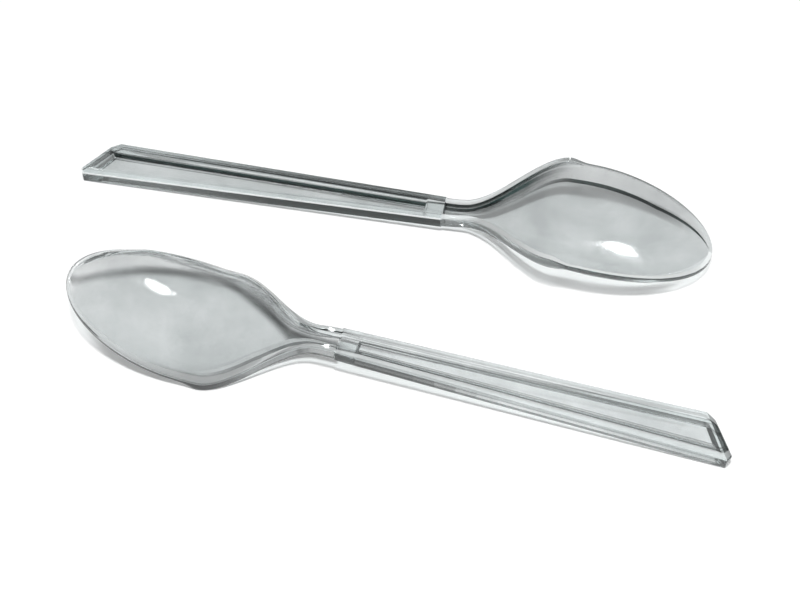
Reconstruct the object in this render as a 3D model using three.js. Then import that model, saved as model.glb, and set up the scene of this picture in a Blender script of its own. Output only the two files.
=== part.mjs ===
import * as THREE from "three";

// Sizes in millimetres, angles in degrees
// Plan of one spoon, measured from the butt towards the tip
const length = 168;
const buttWidth = 12.4;
const neckWidth = 7.8;
const bowlWidth = 35.8;
const shoulderStart = 103.7;
const shoulderEnd = 129.3;
const widestAt = 136.5;

// Slanted butt with cut corners
const buttSlant = 7.6;
const slantReach = 26;
const cornerCut = 1.8;
const cornerLength = 2;

// Side view of the rails and the rim
const handleHeight = 3.1;
const handleRise = 2;
const crestStart = 99;
const crestHeight = 12.3;
const tipHeight = 4.1;
const rimFallPower = 1.5;

// Rails, recessed panel and its wall of slope, step and foot
const railWidth = 1.7;
const slopeRun = 1.3;
const slopeDrop = 0.6;
const stepRun = 0.25;
const stepDrop = 1.2;
const footRun = 0.8;
const footDrop = 0.4;
const edgeCut = 0.25;

// Cross pad between the handle panel and the neck channel
const padStart = 93.9;
const padEnd = 98.3;
const padDrop = 0.15;
const padWallRun = 0.9;
const channelDepth = 1.9;
const channelWallRun = 0.35;
const neckInset = 0.3;
const neckStep = 1.05;
const neckStepRun = 0.45;
const neckFootRun = 0.8;

// Rounded rail ends on the bowl rim
const railEnd = 132.5;
const railEndLength = 3;
const railRise = 1.4;
const railFade = 6;

// Bowl shell
const rimWidth = 1;
const rimEdge = 1.1;
const bowlWall = 1.15;
const deepestAt = 140;
const creaseDepth = 4.6;
const creaseRun = 3.8;
const creaseShare = 0.55;
const neckEnd = 116;
const floorPower = 2;
const tipFloorPower = 2.2;

// Round of the wall between the step and the crease
const wallBendOut = 0.48;
const wallBendDown = 0.52;
const nearestFoot = 0.6;
const farthestFoot = 0.97;

// How the two spoons lie beside each other
const spoonSpacing = 52.3;
const spoonShift = 1.6;
const upYaw = -12;
const downYaw = 164.5;

// Fineness of the skin
const floorSteps = 5;
const shoulderSteps = 22;
const railEndSteps = 6;
const tipSteps = 28;
const shortestEdge = 0.002;

// Colour of the clear plastic
const plasticColour = 0xc9d2d3;
const plasticRoughness = 0.08;
const plasticOpacity = 0.4;

const clamp = THREE.MathUtils.clamp;
const lerp = THREE.MathUtils.lerp;
const ease = (x, from, to) => THREE.MathUtils.smoothstep(x, from, to);
const share = (x, from, to) => clamp((x - from) / (to - from), 0, 1);

// Round-over from 1 to 0, like a quarter of an ellipse
const roundOff = (x, from, to) => Math.sqrt(1 - share(x, from, to) ** 2);

// Half of the plan width at a station along the spoon
function halfWidth(s) {
  const corner = cornerCut * (1 - share(s, 0, cornerLength));
  const inset = neckInset * share(s, padEnd, padEnd + neckInset);
  const handle = lerp(buttWidth, neckWidth, share(s, 0, shoulderStart)) / 2;
  const flare = ease(s, shoulderStart, shoulderEnd);
  const flared = lerp(handle - corner - inset, bowlWidth / 2, flare);
  return flared * roundOff(s, widestAt, length);
}

// Half of the width inside the rails or inside the rim
function innerHalfWidth(s) {
  const edge = lerp(rimWidth, railWidth, railShare(s));
  const tipEnd = length - rimWidth;
  const tipCut = roundOff(s, widestAt, tipEnd) / roundOff(s, widestAt, length);
  return s < tipEnd ? Math.max(0, (halfWidth(s) - edge) * tipCut) : 0;
}

// One along the rails, falling to zero round their ends
const railShare = (s) => roundOff(s, railEnd - railEndLength, railEnd);

// Top of the rails and of the rim
function topHeight(s) {
  const handle = handleHeight + handleRise * (s / shoulderStart);
  const rim = crestHeight - railRise;
  const fall = (rim - tipHeight) * share(s, railEnd, length) ** rimFallPower;
  const bowl = rim - fall + railRise * railShare(s);
  return lerp(handle, bowl, ease(s, crestStart, railEnd - railEndLength));
}

// Height of the outer side wall below the top
function sideHeight(s) {
  const rail = lerp(handleHeight, rimEdge + railRise, ease(s, padEnd, railEnd));
  return lerp(rimEdge, rail, railShare(s));
}

// Breaks of the panel wall, as distances in from the rail edge
const wallBreaks = [0, slopeRun, slopeRun + stepRun, slopeRun + stepRun + footRun];
const wallRun = wallBreaks[3];

// Depth of the handle panel, which the butt wall and the pad close
function panelFloor(s) {
  const fromButt = s - railWidth;
  const fromPad = (padStart - s) * (wallRun / padWallRun);
  const near = Math.min(fromButt, fromPad);
  const drops = [slopeDrop, stepDrop, footDrop];
  const parts = drops.map((drop, i) => drop * share(near, wallBreaks[i], wallBreaks[i + 1]));
  return parts.reduce((sum, part) => sum + part);
}

// Floor height along the neck channel and the bowl
function channelFloor(s) {
  const neck = topHeight(padEnd) - channelDepth;
  const down = lerp(neck, bowlWall, ease(s, padEnd, deepestAt));
  const tipEnd = length - rimWidth;
  const tip = share(s, deepestAt, tipEnd) ** tipFloorPower;
  return lerp(down, topHeight(tipEnd), tip);
}

// Depth of the floor below the top, on the centre line
function floorDepth(s) {
  if (s < padEnd) {
    return Math.max(panelFloor(s), padDrop * share(s, padStart, padStart + padDrop));
  }
  const wall = share(s, padEnd, padEnd + channelWallRun);
  return Math.max(0, lerp(padDrop, topHeight(s) - channelFloor(s), wall));
}

// Depth of the crease where the steep wall meets the flatter floor
function creaseAt(s) {
  const depth = floorDepth(s);
  const rail = railRise * railShare(s);
  const inBowl = rail + Math.min(creaseDepth, creaseShare * (depth - rail));
  return lerp(depth, inBowl, ease(s, padEnd, neckEnd));
}

// Half of the upper side of a section, from the outer edge to the centre line
function upperHalf(s) {
  const w = halfWidth(s);
  const inner = innerHalfWidth(s);
  const depth = floorDepth(s);
  const crease = creaseAt(s);
  const neck = share(s, padStart, padEnd);
  const narrow = (2 * w) / buttWidth;
  const cut = Math.min(edgeCut, (w - inner) / 2);
  const neckDrop = lerp(neckStep, railRise, ease(s, padEnd, shoulderEnd)) * railShare(s);
  const step = Math.min(lerp(slopeDrop, neckDrop, neck), depth);
  const neckReach = neckStepRun * railShare(s);
  const stepY = Math.max(0, inner - lerp(slopeRun * narrow, neckReach, neck));
  const neckFoot = railWidth + neckStepRun + neckFootRun;
  const bowlFoot = lerp(neckFoot, rimWidth + creaseRun, ease(s, padEnd, neckEnd));
  const toFoot = lerp(railWidth + wallRun * narrow, bowlFoot, neck);
  const foot = clamp(w - toFoot, stepY * nearestFoot, stepY * farthestFoot);
  const faded = ease(s, railEnd - railFade, railEnd + railFade);
  const wallTop = clamp(w - lerp(railWidth + neckStepRun, rimWidth, faded), foot, stepY);
  const bendY = lerp(stepY - stepRun * narrow, lerp(wallTop, foot, wallBendOut), neck);
  const bend = lerp(Math.min(slopeDrop + stepDrop, depth), lerp(step, crease, wallBendDown), neck);
  const points = [
    [w, -cut],
    [w - cut, 0],
    [inner, 0],
    [stepY, -step],
    [bendY, -bend],
    [foot, -crease],
  ];
  for (let i = floorSteps - 1; i >= 0; i -= 1) {
    const part = i / floorSteps;
    points.push([foot * part, -lerp(depth, crease, part ** floorPower)]);
  }
  return points;
}

// Half of the under side of a section, from the outer edge to the centre line
function lowerHalf(s) {
  const w = halfWidth(s);
  const side = sideHeight(s);
  const wall = Math.min(bowlWall, handleHeight - channelDepth);
  const cut = Math.min(edgeCut, w / 2, side / 2);
  const under = s < padEnd ? 0 : ease(s, padEnd, padEnd + railEndLength);
  const inner = upperHalf(s);
  const below = (depth) => -Math.max(side, lerp(side, depth, under));
  const outward = Math.min(wall, w / 2);
  const points = [
    [w, -side + cut],
    [w - cut, -side],
  ];
  const last = inner.length - 1;
  for (let i = 4; i <= last; i += 1) {
    const lean = i === last ? 0 : outward * (inner[i][0] / Math.max(inner[4][0], edgeCut));
    const y = Math.min(inner[i][0] + lean, w - cut);
    points.push([y, below(-inner[i][1] + wall)]);
  }
  return points;
}

// Closed ring of points round the spoon at one station
function sectionRing(s) {
  const top = topHeight(s);
  const mirror = ([y, z]) => [-y, z];
  const upper = upperHalf(s);
  const lower = lowerHalf(s);
  const ring = [
    ...upper,
    ...upper.slice(0, -1).reverse().map(mirror),
    ...lower.map(mirror),
    ...lower.slice(0, -1).reverse(),
  ];
  const fade = 1 - share(s, 0, slantReach);
  const slant = (y) => buttSlant * fade * (y / buttWidth + 0.5);
  return ring.map(([y, z]) => new THREE.Vector3(s + slant(y), y, top + z));
}

// Even run of stations between two places, without the last
const evenly = (from, to, count) =>
  Array.from({ length: count }, (_, i) => lerp(from, to, i / count));

// Stations, closer together where the form changes
function stations() {
  const endTurn = evenly(0, Math.PI / 2, railEndSteps);
  const tipTurn = evenly(0, Math.PI / 2, tipSteps);
  return [
    0,
    ...wallBreaks.map((run) => railWidth + run),
    cornerLength,
    slantReach,
    ...wallBreaks.map((run) => padStart - run * (padWallRun / wallRun)),
    padStart + padDrop,
    padEnd,
    padEnd + neckInset,
    padEnd + channelWallRun,
    ...evenly(shoulderStart, railEnd - railEndLength, shoulderSteps),
    ...endTurn.map((a) => railEnd - railEndLength * (1 - Math.sin(a))),
    railEnd,
    ...tipTurn.slice(1).map((a) => lerp(railEnd, length - rimWidth, Math.sin(a))),
    length - rimWidth,
    length - rimWidth / 2,
    length,
  ].sort((a, b) => a - b);
}

// One closed skin through all rings, with a flat cap on the butt
function spoonGeometry() {
  const rings = stations().map(sectionRing);
  const count = rings[0].length;
  const positions = [];
  const triangle = (a, b, c) => {
    const area = new THREE.Triangle(a, b, c).getArea();
    const apart = Math.min(a.distanceTo(b), b.distanceTo(c), c.distanceTo(a));
    if (area > 0 && apart > shortestEdge) positions.push(...a, ...b, ...c);
  };
  for (let i = 0; i + 1 < rings.length; i += 1) {
    for (let j = 0; j < count; j += 1) {
      const k = (j + 1) % count;
      const [a, b] = [rings[i][j], rings[i][k]];
      const [c, d] = [rings[i + 1][k], rings[i + 1][j]];
      triangle(a, b, c);
      triangle(a, c, d);
    }
  }
  const middle = new THREE.Vector3();
  rings[0].forEach((p) => middle.addScaledVector(p, 1 / count));
  rings[0].forEach((p, j) => triangle(middle, rings[0][(j + 1) % count], p));
  const geometry = new THREE.BufferGeometry();
  geometry.setAttribute("position", new THREE.Float32BufferAttribute(positions, 3));
  geometry.computeVertexNormals();
  return geometry;
}

const plastic = new THREE.MeshStandardMaterial({
  color: plasticColour,
  roughness: plasticRoughness,
  metalness: 0,
  transparent: true,
  opacity: plasticOpacity,
});

// A spoon turned about the middle of its length
function spoon(name, yaw, side) {
  const mesh = new THREE.Mesh(spoonGeometry(), plastic);
  mesh.name = name;
  const turn = new THREE.Group();
  turn.rotation.z = THREE.MathUtils.degToRad(yaw);
  turn.position.set((-side * spoonShift) / 2, (side * spoonSpacing) / 2, 0);
  mesh.position.x = -length / 2;
  turn.add(mesh);
  return turn;
}

const pack = new THREE.Group();
const bowlUp = spoon("spoon_bowl_up", upYaw, 1);
const bowlDown = spoon("spoon_bowl_down", downYaw, -1);

// The overturned spoon rests on its rail ends and on the top of its butt
const contact = railEnd - railEndLength;
const lean = Math.atan2(topHeight(contact) - topHeight(0), contact);
const turned = bowlDown.children[0];
turned.rotation.set(Math.PI, -lean, 0, "YXZ");
pack.add(bowlUp, bowlDown);

// Both spoons touch the ground, and the ground under the pack's middle is the origin
for (const group of [bowlUp, bowlDown]) {
  group.position.z -= new THREE.Box3().setFromObject(group, true).min.z;
}
const middle = new THREE.Box3().setFromObject(pack, true).getCenter(new THREE.Vector3());
for (const group of [bowlUp, bowlDown]) {
  group.position.x -= middle.x;
  group.position.y -= middle.y;
}

export default pack;
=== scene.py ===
import math

import bmesh
import bpy
from mathutils import Matrix, Vector


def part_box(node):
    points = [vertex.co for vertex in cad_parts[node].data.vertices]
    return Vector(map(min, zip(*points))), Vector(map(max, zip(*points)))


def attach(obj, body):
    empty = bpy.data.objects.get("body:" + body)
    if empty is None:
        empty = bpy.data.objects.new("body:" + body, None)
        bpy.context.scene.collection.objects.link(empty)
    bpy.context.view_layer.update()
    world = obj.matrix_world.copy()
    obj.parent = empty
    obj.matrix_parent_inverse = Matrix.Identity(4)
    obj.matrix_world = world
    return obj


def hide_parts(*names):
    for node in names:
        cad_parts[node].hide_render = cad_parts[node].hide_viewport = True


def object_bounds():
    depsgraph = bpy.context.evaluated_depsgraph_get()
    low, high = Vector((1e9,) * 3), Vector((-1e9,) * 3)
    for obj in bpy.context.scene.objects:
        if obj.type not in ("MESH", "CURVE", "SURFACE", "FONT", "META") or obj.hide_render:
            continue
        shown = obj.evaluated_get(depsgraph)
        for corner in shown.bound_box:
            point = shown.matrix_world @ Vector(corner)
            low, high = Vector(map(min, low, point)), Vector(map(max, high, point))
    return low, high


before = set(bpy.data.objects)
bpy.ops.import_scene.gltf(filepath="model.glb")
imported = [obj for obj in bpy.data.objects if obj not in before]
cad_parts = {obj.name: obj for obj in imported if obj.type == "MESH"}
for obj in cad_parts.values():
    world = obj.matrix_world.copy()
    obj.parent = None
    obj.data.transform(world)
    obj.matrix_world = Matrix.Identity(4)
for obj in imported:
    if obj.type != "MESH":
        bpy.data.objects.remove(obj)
cad_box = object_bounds()

# Sizes in millimetres down to the bowl, the same as those of the solids
# Plan of one spoon, measured from the butt towards the tip
LENGTH = 168.0
BUTT_WIDTH = 12.4
NECK_WIDTH = 7.8
BOWL_WIDTH = 35.8
SHOULDER_START = 103.7
SHOULDER_END = 129.3
WIDEST_AT = 136.5

# Slanted butt with cut corners
BUTT_SLANT = 7.6
SLANT_REACH = 26.0
CORNER_CUT = 1.8
CORNER_LENGTH = 2.0

# Side view of the rails and the rim
HANDLE_HEIGHT = 3.1
HANDLE_RISE = 2.0
CREST_START = 99.0
CREST_HEIGHT = 12.3
TIP_HEIGHT = 4.1
RIM_FALL_POWER = 1.5

# Rails, recessed panel and its wall of slope, step and foot
RAIL_WIDTH = 1.7
SLOPE_RUN = 1.3
SLOPE_DROP = 0.6
STEP_RUN = 0.25
STEP_DROP = 1.2
FOOT_RUN = 0.8
FOOT_DROP = 0.4
WALL_BREAKS = (0, SLOPE_RUN, SLOPE_RUN + STEP_RUN, SLOPE_RUN + STEP_RUN + FOOT_RUN)
WALL_RUN = WALL_BREAKS[3]

# Pad at the end of the panel, then the channel of the neck
PAD_START = 93.9
PAD_END = 98.3
PAD_DROP = 0.15
PAD_WALL_RUN = 0.9
CHANNEL_DEPTH = 1.9
CHANNEL_WALL_RUN = 0.35
NECK_INSET = 0.3
NECK_STEP = 1.05
NECK_STEP_RUN = 0.45
NECK_FOOT_RUN = 0.8
NECK_END = 116.0

# Ends of the rails, and the thin rim beyond them
RAIL_END = 132.5
RAIL_END_LENGTH = 3.0
RAIL_RISE = 1.4
RAIL_FADE = 6.0
RIM_WIDTH = 1.0
RIM_EDGE = 1.1
TIP_END = LENGTH - RIM_WIDTH

# Bowl: its wall, floor and the crease between them
BOWL_WALL = 1.15
DEEPEST_AT = 140.0
CREASE_SHARE = 0.55
FLOOR_POWER = 2.0
TIP_FLOOR_POWER = 2.2
WALL_BEND_OUT = 0.48
WALL_BEND_DOWN = 0.52
NEAREST_FOOT = 0.6
FARTHEST_FOOT = 0.97

# Turn of each spoon on the ground, in degrees
UP_YAW = -12.0
DOWN_YAW = 164.5

# Forms that are softer than those of the solids, in millimetres
CREASE_DEPTH = 3.5
CREASE_RUN = 2.7
CREASE_ROUND = 0.5
RAIL_BLEND = 4.5
RAIL_BLEND_PAST = RAIL_BLEND / 4
EDGE_ROUND = 0.3
STEP_ROUND = 0.2
ROUND_SHARE = 0.45

# Strips round a section: each rounded corner and the flat before it, then the floor
ROUND_STEPS = 4
CORNER_STEPS = ROUND_STEPS + 1
SECTION_CORNERS = 5
FLOOR_STEPS = 16
UPPER_STRIPS = 2 * (SECTION_CORNERS * CORNER_STEPS + FLOOR_STEPS)
UNDER_RIM_STRIPS = 3 * CORNER_STEPS
BEND_POINT = 1 + 3 * CORNER_STEPS
RAIL_PARTS = 2
SHEENED_CORNERS = 4

# Number of sections in each stretch, and distances in millimetres from its ends and beside a break
BUTT_SECTIONS = 6
HANDLE_SECTIONS = 16
NECK_SECTIONS = 44
RAIL_END_SECTIONS = 18
BOWL_SECTIONS = 60
RIM_SECTIONS = 6
HANDLE_MARGIN = 5.0
NECK_MARGIN = 1.0
SUPPORT = 0.05

# Metres to a millimetre, millimetres to a UV unit, welding distance in metres, sharp angle in degrees
MM = 0.001
UV_LENGTH = 100
WELD = 1e-6
SHARP_ANGLE = 40

# Photograph frame in pixels, and the camera that fits it
IMAGE_WIDTH = 800
FOCAL_PIXELS = 1801.5
SENSOR_MM = 36.0
CAMERA_PLACE = (0.00244, -0.28302, 0.35575)
CAMERA_PITCH = 51.52

# Lamps: place in metres, point they face, width, height, power in watts and the spoon they gleam on
LAMPS = (
    ("overhead", (0.0, -0.2, 0.98), (0.0, 0.0, 0.0), 0.13, 0.13, 8.3, None),
    ("window_right", (0.242, 1.455, 1.379), (0.058, 0.016, 0.002), 0.13, 0.8, 5.0, "upright_spoon"),
    ("window_left", (-0.208, 1.233, 1.574), (-0.058, -0.006, 0.011), 0.17, 0.62, 4.4, "overturned_spoon"),
)

# Painted shade on flat strips, in place of the dark lines that bent light and shadow give, a row each for
# handle, neck and bowl: outer side, rail, step, wall, foot
UP_FAR_STRIPS = (
    (0.3, 0.6, 0.1, 0.97, 0.1),
    (0.2, 0.1, 0.95, 0.99, 0.7),
    (0.2, 0.1, 0.2, 0.25, 0.25),
)
UP_NEAR_STRIPS = (
    (0.97, 0.05, 0.1, 0.2, 0.1),
    (0.2, 0.03, 0.05, 0.05, 0.05),
    (0.05, 0, 0, 0, 0),
)
DOWN_FAR_STRIPS = (
    (0.1, 0.05, 0.1, 0.4, 0.1),
    (0.1, 0.05, 0.85, 0.4, 0.2),
    (0.15, 0.05, 0.06, 0.06, 0.16),
)
DOWN_NEAR_STRIPS = (
    (0.8, 0.05, 0.1, 0.2, 0.1),
    (0.4, 0.05, 0.2, 0.15, 0.15),
    (0.95, 0.1, 0.15, 0.15, 0.16),
)

# The same for the rounded edges between them: outer edge, inner edge, step, bend, foot
UP_FAR_EDGES = (
    (0.75, 0.8, 0.4, 0.9, 0.5),
    (0.2, 0.15, 0.7, 0.8, 0.4),
    (0.2, 0.05, 0.2, 0.25, 0.92),
)
UP_NEAR_EDGES = (
    (0, 0.3, 0.2, 0.2, 0.3),
    (0.1, 0.25, 0.05, 0.05, 0.1),
    (0.05, 0.1, 0, 0, 0.05),
)
DOWN_FAR_EDGES = (
    (0.6, 0.5, 0.5, 0.6, 0.6),
    (0.8, 0.3, 0.6, 0.3, 0.2),
    (0.15, 0.1, 0.06, 0.06, 0.16),
)
DOWN_NEAR_EDGES = (
    (0.5, 0.4, 0.4, 0.5, 0.5),
    (0.3, 0.25, 0.2, 0.15, 0.15),
    (0.9, 0.1, 0.15, 0.15, 0.16),
)

# The same for the underside of the overturned spoon: flat by the edge, bend, wall, crease
UNDER_FAR_STRIPS = (
    (0, 0.3, 0, 0.3),
    (0.05, 0.95, 0.15, 0.5),
    (0, 0, 0.1, 0.4),
)
UNDER_NEAR_STRIPS = (
    (0, 0.3, 0, 0.3),
    (0.1, 0.6, 0.1, 0.1),
    (0.1, 0, 0, 0),
)

# Painted shade on the floor of handle, neck and bowl, and on the butt, with the butt's length in
# millimetres
UP_FLOOR = (0.17, 0.22, 0.165)
DOWN_FLOOR = (0, 0.15, 0.165)
UP_BUTT = 0.2
DOWN_BUTT = 0.8
BUTT_BAND = 1.8

# Share of the painted shade of outer sides and rails at the butt, and where along the handle it grows to
# all
UP_BUTT_FADE = (0.5, 10, 60)
DOWN_BUTT_FADE = (0.1, 50, 80)

# Painted shadow: a soft dark band over the outside of the overturned bowl, where the far rim's shadow on
# the ground shows through, highest where the rails end, in millimetres
BAND_PEAK_AT = 133.0
BAND_PEAK = 9.0
BAND_LOWEST = -2.2
BAND_TO_TIP = 27.0
BAND_TO_NECK = 19.0
BAND_CURVE = 1.25
BAND_HALF = 2.5
BAND_SHADOW_DARKNESS = (0, 0.72, 0.42)

# Painted sheen, a pale diffuse coat in place of gleams and reflections, on handle, neck and bowl: far rail,
# near rail, near outer edge, flat of the underside
FAR_RAIL_SHEEN = (0, 0.45, 0.15)
RAIL_SHEEN = (0, 0.4, 0.6)
OUTER_EDGE_SHEEN = (0.7, 0.35, 0)
UNDER_SHEEN = (0.25, 0.25, 0.25)

# Clear polystyrene
REFRACTION = 1.59
CLEARNESS = 0.95
# Tint of the painted shade, mixed in by the edge attribute
PAINTED_SHADE_TINT = (0.001, 0.004, 0.0035, 1)
# Colour of the painted sheen
PAINTED_SHEEN_COLOUR = (0.86, 0.88, 0.88, 1)
ABSORB_COLOUR = (0.55, 0.85, 0.83, 1)
ABSORB_DENSITY = 30.0

# Noises of the plastic: scale, detail and roughness
MOTTLE_NOISE = (70, 5, 0.6)
GRAIN_NOISE = (2200, 2, 0.5)
SMUDGE_NOISE = (260, 6, 0.65)
FLOW_NOISE = (1, 3, 0.6)
WAVE_NOISE = (220, 3, 0.5)
FLOW_STRETCH = (6, 160, 1)

# Colours and roughness that the noises give
MOTTLE_STOPS = ((0.35, (0.76, 0.775, 0.78, 1)), (0.65, (0.94, 0.95, 0.955, 1)))
GRAIN_STOPS = ((0.25, (0.9, 0.9, 0.9, 1)), (0.75, (1, 1, 1, 1)))
SMUDGE_STOPS = ((0.4, (0.02, 0.02, 0.02, 1)), (0.75, (0.12, 0.12, 0.12, 1)))

# Bump heights in metres
FLOW_HEIGHT = 0.000012
WAVE_HEIGHT = 0.00003
GRAIN_HEIGHT = 0.000005

# Lamp light that passes to the ground: upright part of a steep and a level normal, share and tint
STEEP = 0.5
LEVEL = 0.85
LEVEL_PASSES = 0.92
PASSING_TINT = (0.95, 0.965, 0.965, 1)

# Floor and room
WHITE = (1, 1, 1, 1)
FLOOR_RADIUS = 0.6
FLOOR_SIDES = 96
FLOOR_GAP = 0.00005
FLOOR_COLOUR = (0.8, 0.8, 0.8, 1)
FLOOR_GLOW = 0.16
ROOM_STOPS = ((0.0, (0.28, 0.3, 0.3, 1)), (0.95, WHITE))
ROOM_STRENGTH = 0.45


def lerp(a, b, t):
    return a + (b - a) * t


def share(x, start, end):
    return min(1.0, max(0.0, (x - start) / (end - start)))


def ease(x, start, end):
    t = share(x, start, end)
    return t * t * (3 - 2 * t)


def round_off(x, start, end):
    return math.sqrt(1 - share(x, start, end) ** 2)


def rail_share(s):
    return 1 - ease(s, RAIL_END - RAIL_BLEND, RAIL_END + RAIL_BLEND_PAST)


def half_width(s):
    corner = CORNER_CUT * (1 - share(s, 0, CORNER_LENGTH))
    inset = NECK_INSET * share(s, PAD_END, PAD_END + NECK_INSET)
    handle = lerp(BUTT_WIDTH, NECK_WIDTH, share(s, 0, SHOULDER_START)) / 2
    flared = lerp(handle - corner - inset, BOWL_WIDTH / 2, ease(s, SHOULDER_START, SHOULDER_END))
    return flared * round_off(s, WIDEST_AT, LENGTH)


def inner_half_width(s):
    if s >= TIP_END:
        return 0.0
    edge = lerp(RIM_WIDTH, RAIL_WIDTH, rail_share(s))
    tip_cut = round_off(s, WIDEST_AT, TIP_END) / round_off(s, WIDEST_AT, LENGTH)
    return max(0.0, (half_width(s) - edge) * tip_cut)


def top_height(s):
    handle = HANDLE_HEIGHT + HANDLE_RISE * s / SHOULDER_START
    rim = CREST_HEIGHT - RAIL_RISE
    fall = (rim - TIP_HEIGHT) * share(s, RAIL_END, LENGTH) ** RIM_FALL_POWER
    bowl = rim - fall + RAIL_RISE * rail_share(s)
    return lerp(handle, bowl, ease(s, CREST_START, RAIL_END - RAIL_END_LENGTH))


def side_height(s):
    rail = lerp(HANDLE_HEIGHT, RIM_EDGE + RAIL_RISE, ease(s, PAD_END, RAIL_END))
    return lerp(RIM_EDGE, rail, rail_share(s))


def panel_floor(s):
    near = min(s - RAIL_WIDTH, (PAD_START - s) * WALL_RUN / PAD_WALL_RUN)
    drops = (SLOPE_DROP, STEP_DROP, FOOT_DROP)
    return sum(d * share(near, a, b) for d, a, b in zip(drops, WALL_BREAKS, WALL_BREAKS[1:]))


def channel_floor(s):
    neck = top_height(PAD_END) - CHANNEL_DEPTH
    down = lerp(neck, BOWL_WALL, ease(s, PAD_END, DEEPEST_AT))
    return lerp(down, top_height(TIP_END), share(s, DEEPEST_AT, TIP_END) ** TIP_FLOOR_POWER)


def floor_depth(s):
    if s < PAD_END:
        return max(panel_floor(s), PAD_DROP * share(s, PAD_START, PAD_START + PAD_DROP))
    wall = share(s, PAD_END, PAD_END + CHANNEL_WALL_RUN)
    return max(0.0, lerp(PAD_DROP, top_height(s) - channel_floor(s), wall))


def crease_at(s):
    depth = floor_depth(s)
    rail = RAIL_RISE * rail_share(s)
    in_bowl = rail + min(CREASE_DEPTH, CREASE_SHARE * (depth - rail))
    return lerp(depth, in_bowl, ease(s, PAD_END, NECK_END))


def rounded(points):
    """A line through points (y, z, radius), with each inner corner rounded off."""
    line = [points[0][:2]]
    for before, here, after in zip(points, points[1:], points[2:]):
        p = Vector(here[:2])
        back = Vector(before[:2]) - p
        ahead = Vector(after[:2]) - p
        reach_back = min(here[2], back.length * ROUND_SHARE)
        reach_ahead = min(here[2], ahead.length * ROUND_SHARE)
        a = p + back.normalized() * reach_back if back.length else p
        b = p + ahead.normalized() * reach_ahead if ahead.length else p
        for i in range(CORNER_STEPS):
            t = i / ROUND_STEPS
            line.append(tuple(a.lerp(p, t).lerp(p.lerp(b, t), t)))
    line.append(points[-1][:2])
    return line


def butt_inset(s):
    return EDGE_ROUND * (1 - math.sqrt(1 - (1 - share(s, 0, EDGE_ROUND)) ** 2))


def upper_half(s):
    """Upper side of a section from the middle of the outer edge to the centre line."""
    pulled = butt_inset(s)
    w = max(half_width(s) - pulled, 0.0)
    inner = min(inner_half_width(s), w)
    depth = floor_depth(s)
    crease = crease_at(s)
    neck = share(s, PAD_START, PAD_END)
    narrow = 2 * half_width(s) / BUTT_WIDTH
    neck_drop = lerp(NECK_STEP, RAIL_RISE, ease(s, PAD_END, SHOULDER_END)) * rail_share(s)
    step = min(lerp(SLOPE_DROP, neck_drop, neck), depth)
    step_y = max(0.0, inner - lerp(SLOPE_RUN * narrow, NECK_STEP_RUN * rail_share(s), neck))
    in_bowl = ease(s, PAD_END, NECK_END)
    bowl_foot = lerp(RAIL_WIDTH + NECK_STEP_RUN + NECK_FOOT_RUN, RIM_WIDTH + CREASE_RUN, in_bowl)
    to_foot = lerp(RAIL_WIDTH + WALL_RUN * narrow, bowl_foot, neck)
    foot = min(max(half_width(s) - to_foot, step_y * NEAREST_FOOT), step_y * FARTHEST_FOOT)
    faded = ease(s, RAIL_END - RAIL_FADE, RAIL_END + RAIL_FADE)
    wall_top = half_width(s) - lerp(RAIL_WIDTH + NECK_STEP_RUN, RIM_WIDTH, faded)
    wall_top = min(max(wall_top, foot), step_y)
    bend_y = lerp(step_y - STEP_RUN * narrow, lerp(wall_top, foot, WALL_BEND_OUT), neck)
    bend = lerp(min(SLOPE_DROP + STEP_DROP, depth), lerp(step, crease, WALL_BEND_DOWN), neck)
    crease_round = lerp(STEP_ROUND, CREASE_ROUND, in_bowl)
    floor = [
        (foot * t, -lerp(depth, crease, t ** FLOOR_POWER))
        for t in (1 - i / FLOOR_STEPS for i in range(1, FLOOR_STEPS + 1))
    ]
    corners = [
        (w, -side_height(s) / 2, 0),
        (w, -pulled, EDGE_ROUND),
        (inner, -pulled, STEP_ROUND),
        (step_y, -max(step, pulled), STEP_ROUND),
        (bend_y, -max(bend, pulled), crease_round),
        (foot, -max(crease, pulled), crease_round),
        (floor[0][0], min(floor[0][1], -pulled), 0),
    ]
    return rounded(corners) + [(y, min(z, -pulled)) for y, z in floor[1:]]


def lower_half(s, upper):
    """Under side of a section from the middle of the outer edge to the centre line."""
    pulled = butt_inset(s)
    w = max(half_width(s) - pulled, 0.0)
    side = side_height(s) - pulled
    wall = min(BOWL_WALL, HANDLE_HEIGHT - CHANNEL_DEPTH)
    under = 0 if s < PAD_END else ease(s, PAD_END, PAD_END + RAIL_END_LENGTH)
    inner = upper[BEND_POINT:]
    outward = min(wall, w / 2)
    widest = max(inner[0][0], EDGE_ROUND)
    skin = []
    for y, z in inner:
        spread = outward * y / widest
        skin.append((min(y + spread, w), -max(side, lerp(side, wall - z, under))))
    corners = [(w, -side_height(s) / 2, 0), (w, -side, EDGE_ROUND), (skin[0][0], skin[0][1], 0)]
    return rounded(corners) + skin[1:]


def section_ring(s):
    """A whole section: upper side from far to near, then under side from near to far."""
    top = top_height(s)
    upper = upper_half(s)
    lower = lower_half(s, upper)
    ring = upper + [(-y, z) for y, z in upper[-2::-1]]
    ring += [(-y, z) for y, z in lower[1:]]
    ring += lower[-2:0:-1]
    fade = 1 - share(s, 0, SLANT_REACH)
    return [(s + BUTT_SLANT * fade * (y / BUTT_WIDTH + 0.5), y, top + z) for y, z in ring]


def run(start, end, count):
    return [lerp(start, end, i / count) for i in range(count)]


def quarter_turn(count):
    return run(0, math.pi / 2, count)


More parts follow.
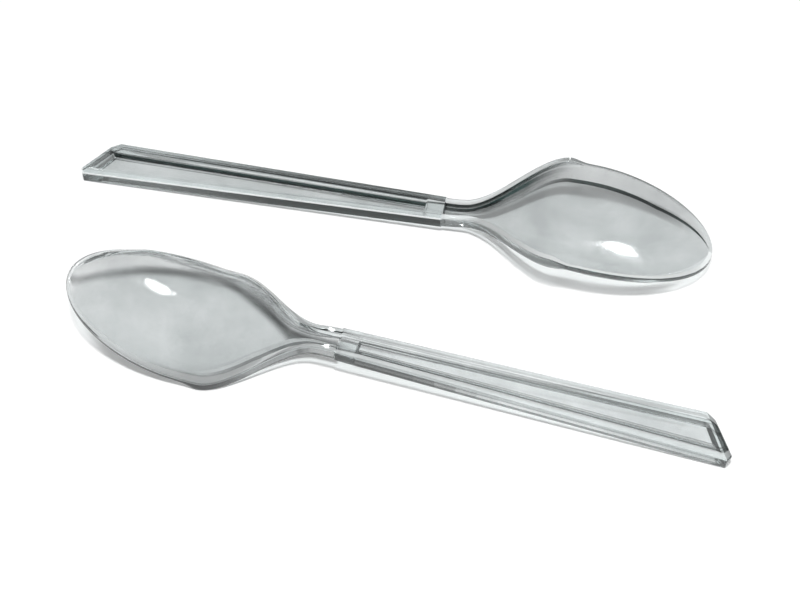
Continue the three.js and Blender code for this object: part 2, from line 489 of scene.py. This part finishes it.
def stations():
    """Places of the sections, closer together where the form changes."""
    breaks = [CORNER_LENGTH, SLANT_REACH, PAD_START + PAD_DROP, PAD_END]
    breaks += [PAD_END + NECK_INSET, PAD_END + CHANNEL_WALL_RUN]
    breaks += [RAIL_WIDTH + x for x in WALL_BREAKS]
    breaks += [PAD_START - x * PAD_WALL_RUN / WALL_RUN for x in WALL_BREAKS]
    places = [EDGE_ROUND * (1 - math.cos(a)) for a in quarter_turn(BUTT_SECTIONS)]
    for place in breaks:
        places += [place - SUPPORT, place, place + SUPPORT]
    blend_start = RAIL_END - RAIL_BLEND
    blend_end = RAIL_END + RAIL_BLEND_PAST
    places += run(HANDLE_MARGIN, PAD_START - HANDLE_MARGIN, HANDLE_SECTIONS)
    places += run(PAD_END + NECK_MARGIN, blend_start, NECK_SECTIONS)
    places += run(blend_start, blend_end, RAIL_END_SECTIONS)
    places += [lerp(blend_end, TIP_END, math.sin(a)) for a in quarter_turn(BOWL_SECTIONS)]
    places += [lerp(TIP_END, LENGTH, math.sin(a)) for a in quarter_turn(RIM_SECTIONS)]
    places.append(LENGTH)
    return sorted(set(round(p, 4) for p in places))


def dark_tone(darkness):
    """The share of the painted shade tint that gives a darkness."""
    return 1 - (1 - darkness) ** 2


def blend_along(tones, s):
    """Handle, neck and bowl values blended along the spoon."""
    handle, neck, bowl = tones
    along = lerp(handle, neck, share(s, PAD_START, PAD_END))
    return lerp(along, bowl, ease(s, NECK_END, RAIL_END))


def under_darkness(strip, s, far):
    """Painted shade on a strip of the overturned spoon's underside, counted from its outer edge."""
    if strip < CORNER_STEPS or strip >= UNDER_RIM_STRIPS:
        return 0.0
    corner, step = divmod(strip - CORNER_STEPS, CORNER_STEPS)
    place = 2 * corner + (step > 0)
    tones = UNDER_FAR_STRIPS if far else UNDER_NEAR_STRIPS
    return blend_along([part[place] for part in tones], s)


def strip_tones(up, far, on_edge):
    """The table of painted shade for a flat strip or a rounded edge of the upper side."""
    if up:
        strips = UP_FAR_STRIPS if far else UP_NEAR_STRIPS
        edges = UP_FAR_EDGES if far else UP_NEAR_EDGES
    else:
        strips = DOWN_FAR_STRIPS if far else DOWN_NEAR_STRIPS
        edges = DOWN_FAR_EDGES if far else DOWN_NEAR_EDGES
    return edges if on_edge else strips


def strip_darkness(j, count, s, up):
    """Painted shade on a strip of the skin, from the part of the section it belongs to."""
    under = j >= UPPER_STRIPS
    strip = min(j - UPPER_STRIPS, count - 1 - j) if under else min(j, UPPER_STRIPS - 1 - j)
    far = j < UPPER_STRIPS / 2 or j > (UPPER_STRIPS + count) / 2
    if under and strip > 0:
        if up:
            return 0.0
        return DOWN_BUTT if s < BUTT_BAND else under_darkness(strip, s, far)
    part, step = divmod(strip, CORNER_STEPS)
    if part >= SECTION_CORNERS:
        return blend_along(UP_FLOOR if up else DOWN_FLOOR, s)
    handle, neck, bowl = (tones[part] for tones in strip_tones(up, far, step > 0))
    if part < RAIL_PARTS:
        at_butt, start, end = UP_BUTT_FADE if up else DOWN_BUTT_FADE
        handle *= lerp(at_butt, 1, ease(s, start, end))
    return blend_along((handle, neck, bowl), s)


def painted_shadow_band(s, y):
    """Painted shadow of the soft band at a point of the outside of the overturned bowl."""
    reach = BAND_TO_TIP if s > BAND_PEAK_AT else BAND_TO_NECK
    fall = (abs(s - BAND_PEAK_AT) / reach) ** BAND_CURVE
    middle = max(BAND_LOWEST, BAND_PEAK * (1 - fall))
    return blend_along(BAND_SHADOW_DARKNESS, s) * (1 - ease(abs(y - middle), 0, BAND_HALF))


def strip_sheen(j, count, s, up):
    """How much painted sheen a strip of the skin has."""
    if not up:
        by_edge = CORNER_STEPS in (j - UPPER_STRIPS, count - 1 - j)
        return blend_along(UNDER_SHEEN, s) if by_edge else 0.0
    if CORNER_STEPS <= j < 2 * CORNER_STEPS:
        return blend_along(FAR_RAIL_SHEEN, s)
    strip = UPPER_STRIPS - 1 - j
    if strip < 1 or strip > SHEENED_CORNERS * CORNER_STEPS:
        return 0.0
    if strip < CORNER_STEPS:
        return blend_along(OUTER_EDGE_SHEEN, s)
    rail = blend_along(RAIL_SHEEN, s)
    return rail if strip < 2 * CORNER_STEPS else rail * rail_share(s)


def spoon_mesh(name, up):
    """Closed skin through all sections, with length and side as its UV map."""
    mesh = bmesh.new()
    uv = mesh.loops.layers.uv.new("along")
    # Per-corner painted shade and painted sheen, read by the plastic's shader
    painted_shade_layer = mesh.loops.layers.float.new("edge")
    painted_sheen_layer = mesh.loops.layers.float.new("painted_sheen")
    places = stations()
    flat = []
    rings = []
    for s in places:
        ring = section_ring(s)
        rings.append([mesh.verts.new(Vector(p) * MM) for p in ring])
        flat.append([(s / UV_LENGTH, p[1] / UV_LENGTH) for p in ring])
    count = len(rings[0])
    under_floor = range(UPPER_STRIPS + UNDER_RIM_STRIPS, count - UNDER_RIM_STRIPS)
    for i in range(len(rings) - 1):
        for j in range(count):
            k = (j + 1) % count
            corners = [(i, j), (i, k), (i + 1, k), (i + 1, j)]
            face = mesh.faces.new([rings[a][b] for a, b in corners])
            # Painted shade and painted sheen for each face, set per strip of the section
            dark = dark_tone(strip_darkness(j, count, places[i], up))
            painted_sheen = strip_sheen(j, count, places[i], up)
            for loop, (a, b) in zip(face.loops, corners):
                loop[uv].uv = flat[a][b]
                loop[painted_shade_layer] = dark
                loop[painted_sheen_layer] = painted_sheen
                # Painted shadow band laid over the outside of the overturned bowl
                if not up and j in under_floor:
                    band = painted_shadow_band(places[a], flat[a][b][1] * UV_LENGTH)
                    loop[painted_shade_layer] = max(dark, dark_tone(band))
    # Painted shade on the butt end
    butt = mesh.faces.new(rings[0][::-1])
    for loop in butt.loops:
        loop[painted_shade_layer] = dark_tone(UP_BUTT if up else DOWN_BUTT)
    bmesh.ops.remove_doubles(mesh, verts=mesh.verts[:], dist=WELD)
    bmesh.ops.dissolve_degenerate(mesh, edges=mesh.edges[:], dist=WELD)
    bmesh.ops.recalc_face_normals(mesh, faces=mesh.faces[:])
    for face in mesh.faces:
        face.smooth = True
    data = bpy.data.meshes.new(name)
    mesh.to_mesh(data)
    mesh.free()
    data.set_sharp_from_angle(angle=math.radians(SHARP_ANGLE))
    return data


def place_spoon(name, node, turn, up):
    """A fine spoon in the place of a solid one, turned the same way."""
    data = spoon_mesh(name, up)
    data.transform(turn @ Matrix.Translation((-LENGTH / 2 * MM, 0, 0)))
    low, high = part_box(node)
    points = [v.co for v in data.vertices]
    mine_low = Vector(min(p[i] for p in points) for i in range(3))
    mine_high = Vector(max(p[i] for p in points) for i in range(3))
    shift = (low + high - mine_low - mine_high) / 2
    shift.z = low.z - mine_low.z
    data.transform(Matrix.Translation(shift))
    piece = bpy.data.objects.new(name, data)
    bpy.context.scene.collection.objects.link(piece)
    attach(piece, "root")
    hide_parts(node)
    return piece


def node_tree(owner):
    """The empty node tree of a material or a world."""
    owner.use_nodes = True
    tree = owner.node_tree
    tree.nodes.clear()
    return tree


def link(tree, source, target):
    tree.links.new(source, target)


def noise(tree, vector, scale, detail, roughness):
    node = tree.nodes.new("ShaderNodeTexNoise")
    node.inputs["Scale"].default_value = scale
    node.inputs["Detail"].default_value = detail
    node.inputs["Roughness"].default_value = roughness
    link(tree, vector, node.inputs["Vector"])
    return node.outputs["Fac"]


def math_node(tree, operation, *values):
    node = tree.nodes.new("ShaderNodeMath")
    node.operation = operation
    for socket, value in zip(node.inputs, values):
        if isinstance(value, float):
            socket.default_value = value
        else:
            link(tree, value, socket)
    return node.outputs["Value"]


def ramp(tree, value, stops):
    node = tree.nodes.new("ShaderNodeValToRGB")
    for element, (place, colour) in zip(node.color_ramp.elements, stops):
        element.position = place
        element.color = colour
    link(tree, value, node.inputs["Fac"])
    return node.outputs["Color"]


def attribute(tree, name):
    node = tree.nodes.new("ShaderNodeAttribute")
    node.attribute_name = name
    return node.outputs["Fac"]


def bump(tree, height, distance, normal=None):
    """A bump, laid over another one if its normal is given."""
    node = tree.nodes.new("ShaderNodeBump")
    node.inputs["Distance"].default_value = distance
    link(tree, height, node.inputs["Height"])
    if normal:
        link(tree, normal, node.inputs["Normal"])
    return node.outputs["Normal"]


def mix_shaders(tree, factor, first, second):
    node = tree.nodes.new("ShaderNodeMixShader")
    link(tree, factor, node.inputs[0])
    link(tree, first, node.inputs[1])
    link(tree, second, node.inputs[2])
    return node.outputs["Shader"]


def plastic_colour(tree, place, grain):
    """Cloudy grey with a fine grain, darkened by painted shade from a mesh attribute."""
    mottle = ramp(tree, noise(tree, place, *MOTTLE_NOISE), MOTTLE_STOPS)
    speckled = tree.nodes.new("ShaderNodeMix")
    speckled.data_type = "RGBA"
    speckled.blend_type = "MULTIPLY"
    speckled.inputs["Factor"].default_value = 1.0
    link(tree, mottle, speckled.inputs["A"])
    link(tree, ramp(tree, grain, GRAIN_STOPS), speckled.inputs["B"])
    tint = tree.nodes.new("ShaderNodeMix")
    tint.data_type = "RGBA"
    tint.inputs["B"].default_value = PAINTED_SHADE_TINT
    # Painted shade from the mesh attribute
    link(tree, attribute(tree, "edge"), tint.inputs["Factor"])
    link(tree, speckled.outputs["Result"], tint.inputs["A"])
    return tint.outputs["Result"]


def plastic_bumps(tree, coords, grain):
    """Flow lines along the spoon, under slow waves and fine grain."""
    stretch = tree.nodes.new("ShaderNodeMapping")
    stretch.inputs["Scale"].default_value = FLOW_STRETCH
    link(tree, coords.outputs["UV"], stretch.inputs["Vector"])
    flow = noise(tree, stretch.outputs["Vector"], *FLOW_NOISE)
    waves = noise(tree, coords.outputs["Object"], *WAVE_NOISE)
    flow_bump = bump(tree, flow, FLOW_HEIGHT)
    wave_bump = bump(tree, waves, WAVE_HEIGHT, flow_bump)
    return bump(tree, grain, GRAIN_HEIGHT, wave_bump)


def passing_light(tree):
    """How much lamp light passes to the ground: most through level faces, none through steep ones."""
    geometry = tree.nodes.new("ShaderNodeNewGeometry")
    split = tree.nodes.new("ShaderNodeSeparateXYZ")
    link(tree, geometry.outputs["True Normal"], split.inputs["Vector"])
    level = tree.nodes.new("ShaderNodeMapRange")
    level.interpolation_type = "SMOOTHSTEP"
    level.inputs["From Min"].default_value = STEEP
    level.inputs["From Max"].default_value = LEVEL
    level.inputs["To Max"].default_value = LEVEL_PASSES
    link(tree, math_node(tree, "ABSOLUTE", split.outputs["Z"]), level.inputs["Value"])
    path = tree.nodes.new("ShaderNodeLightPath")
    return math_node(tree, "MULTIPLY", path.outputs["Is Shadow Ray"], level.outputs["Result"])


def clear_plastic():
    """Clear polystyrene: mottled, with flow lines and fine grain, and with painted shade and a painted
    sheen, mostly along its edges.
    """
    material = bpy.data.materials.new("clear_polystyrene")
    tree = node_tree(material)
    out = tree.nodes.new("ShaderNodeOutputMaterial")
    coords = tree.nodes.new("ShaderNodeTexCoord")
    place = coords.outputs["Object"]
    grain = noise(tree, place, *GRAIN_NOISE)
    smudge = noise(tree, place, *SMUDGE_NOISE)

    shader = tree.nodes.new("ShaderNodeBsdfPrincipled")
    shader.inputs["IOR"].default_value = REFRACTION
    shader.inputs["Transmission Weight"].default_value = CLEARNESS
    link(tree, plastic_colour(tree, place, grain), shader.inputs["Base Color"])
    link(tree, ramp(tree, smudge, SMUDGE_STOPS), shader.inputs["Roughness"])
    link(tree, plastic_bumps(tree, coords, grain), shader.inputs["Normal"])

    # Pale diffuse painted sheen, mixed in by its mesh attribute
    painted_sheen_shader = tree.nodes.new("ShaderNodeBsdfDiffuse")
    painted_sheen_shader.inputs["Color"].default_value = PAINTED_SHEEN_COLOUR
    skin = mix_shaders(tree, attribute(tree, "painted_sheen"), shader.outputs["BSDF"], painted_sheen_shader.outputs["BSDF"])
    clear = tree.nodes.new("ShaderNodeBsdfTransparent")
    clear.inputs["Color"].default_value = PASSING_TINT
    surface = mix_shaders(tree, passing_light(tree), skin, clear.outputs["BSDF"])
    link(tree, surface, out.inputs["Surface"])

    absorb = tree.nodes.new("ShaderNodeVolumeAbsorption")
    absorb.inputs["Color"].default_value = ABSORB_COLOUR
    absorb.inputs["Density"].default_value = ABSORB_DENSITY
    link(tree, absorb.outputs["Volume"], out.inputs["Volume"])
    return material


def floor_material():
    """Pale floor with a faint glow to the camera, in mirror images and through the plastic."""
    material = bpy.data.materials.new("white_floor")
    tree = node_tree(material)
    out = tree.nodes.new("ShaderNodeOutputMaterial")
    diffuse = tree.nodes.new("ShaderNodeBsdfDiffuse")
    diffuse.inputs["Color"].default_value = FLOOR_COLOUR
    glow = tree.nodes.new("ShaderNodeEmission")
    path = tree.nodes.new("ShaderNodeLightPath")
    through = math_node(tree, "MAXIMUM", path.outputs["Is Camera Ray"], path.outputs["Is Transmission Ray"])
    seen = math_node(tree, "MAXIMUM", through, path.outputs["Is Glossy Ray"])
    link(tree, math_node(tree, "MULTIPLY", seen, FLOOR_GLOW), glow.inputs["Strength"])
    add = tree.nodes.new("ShaderNodeAddShader")
    link(tree, diffuse.outputs["BSDF"], add.inputs[0])
    link(tree, glow.outputs["Emission"], add.inputs[1])
    link(tree, add.outputs["Shader"], out.inputs["Surface"])
    return material


def make_floor():
    bpy.ops.mesh.primitive_circle_add(vertices=FLOOR_SIDES, radius=FLOOR_RADIUS, fill_type="NGON")
    floor = bpy.context.object
    floor.name = "floor"
    floor.location.z = cad_box[0].z - FLOOR_GAP
    floor.data.materials.append(floor_material())


def make_world():
    """A room that is lighter overhead, and plain white to the camera."""
    world = bpy.data.worlds.new("studio")
    bpy.context.scene.world = world
    tree = node_tree(world)
    out = tree.nodes.new("ShaderNodeOutputWorld")
    coords = tree.nodes.new("ShaderNodeTexCoord")
    split = tree.nodes.new("ShaderNodeSeparateXYZ")
    link(tree, coords.outputs["Generated"], split.inputs["Vector"])
    room = tree.nodes.new("ShaderNodeBackground")
    room.inputs["Strength"].default_value = ROOM_STRENGTH
    link(tree, ramp(tree, split.outputs["Z"], ROOM_STOPS), room.inputs["Color"])
    white = tree.nodes.new("ShaderNodeBackground")
    white.inputs["Color"].default_value = WHITE
    path = tree.nodes.new("ShaderNodeLightPath")
    seen = path.outputs["Is Camera Ray"]
    both = mix_shaders(tree, seen, room.outputs["Background"], white.outputs["Background"])
    link(tree, both, out.inputs["Surface"])


def aim(obj, target):
    obj.rotation_mode = "QUATERNION"
    obj.rotation_quaternion = (target - obj.location).to_track_quat("-Z", "Y")


def make_lamps():
    """One lamp for the whole scene, which leaves no gleam, and one gleam for each spoon."""
    for name, place, target, width, height, power, gleams_on in LAMPS:
        lamp = bpy.data.lights.new(name, "AREA")
        lamp.shape = "ELLIPSE"
        lamp.size = width
        lamp.size_y = height
        lamp.energy = power
        obj = bpy.data.objects.new(name, lamp)
        bpy.context.scene.collection.objects.link(obj)
        obj.location = place
        aim(obj, Vector(target))
        if gleams_on:
            receivers = bpy.data.collections.new(name)
            receivers.objects.link(bpy.data.objects[gleams_on])
            obj.light_linking.receiver_collection = receivers
        else:
            obj.visible_glossy = False
            obj.visible_transmission = False


def make_camera():
    data = bpy.data.cameras.new("camera")
    data.sensor_width = SENSOR_MM
    data.lens = FOCAL_PIXELS / IMAGE_WIDTH * SENSOR_MM
    camera = bpy.data.objects.new("camera", data)
    bpy.context.scene.collection.objects.link(camera)
    camera.location = CAMERA_PLACE
    camera.rotation_euler = (math.radians(90 - CAMERA_PITCH), 0, 0)
    bpy.context.scene.camera = camera


# The overturned spoon leans on its rail ends and on the top of its butt
contact = RAIL_END - RAIL_END_LENGTH
lean = math.atan2(CREST_HEIGHT - HANDLE_HEIGHT, contact)
flip = Matrix.Rotation(-lean, 4, "Y") @ Matrix.Rotation(math.pi, 4, "X")
up_turn = Matrix.Rotation(math.radians(UP_YAW), 4, "Z")
down_turn = Matrix.Rotation(math.radians(DOWN_YAW), 4, "Z") @ flip
plastic = clear_plastic()
for name, node, turn in (
    ("upright_spoon", "spoon_bowl_up", up_turn),
    ("overturned_spoon", "spoon_bowl_down", down_turn),
):
    piece = place_spoon(name, node, turn, node == "spoon_bowl_up")
    piece.data.materials.append(plastic)
make_floor()
make_world()
make_lamps()
make_camera()
bpy.context.scene.view_settings.view_transform = "Standard"
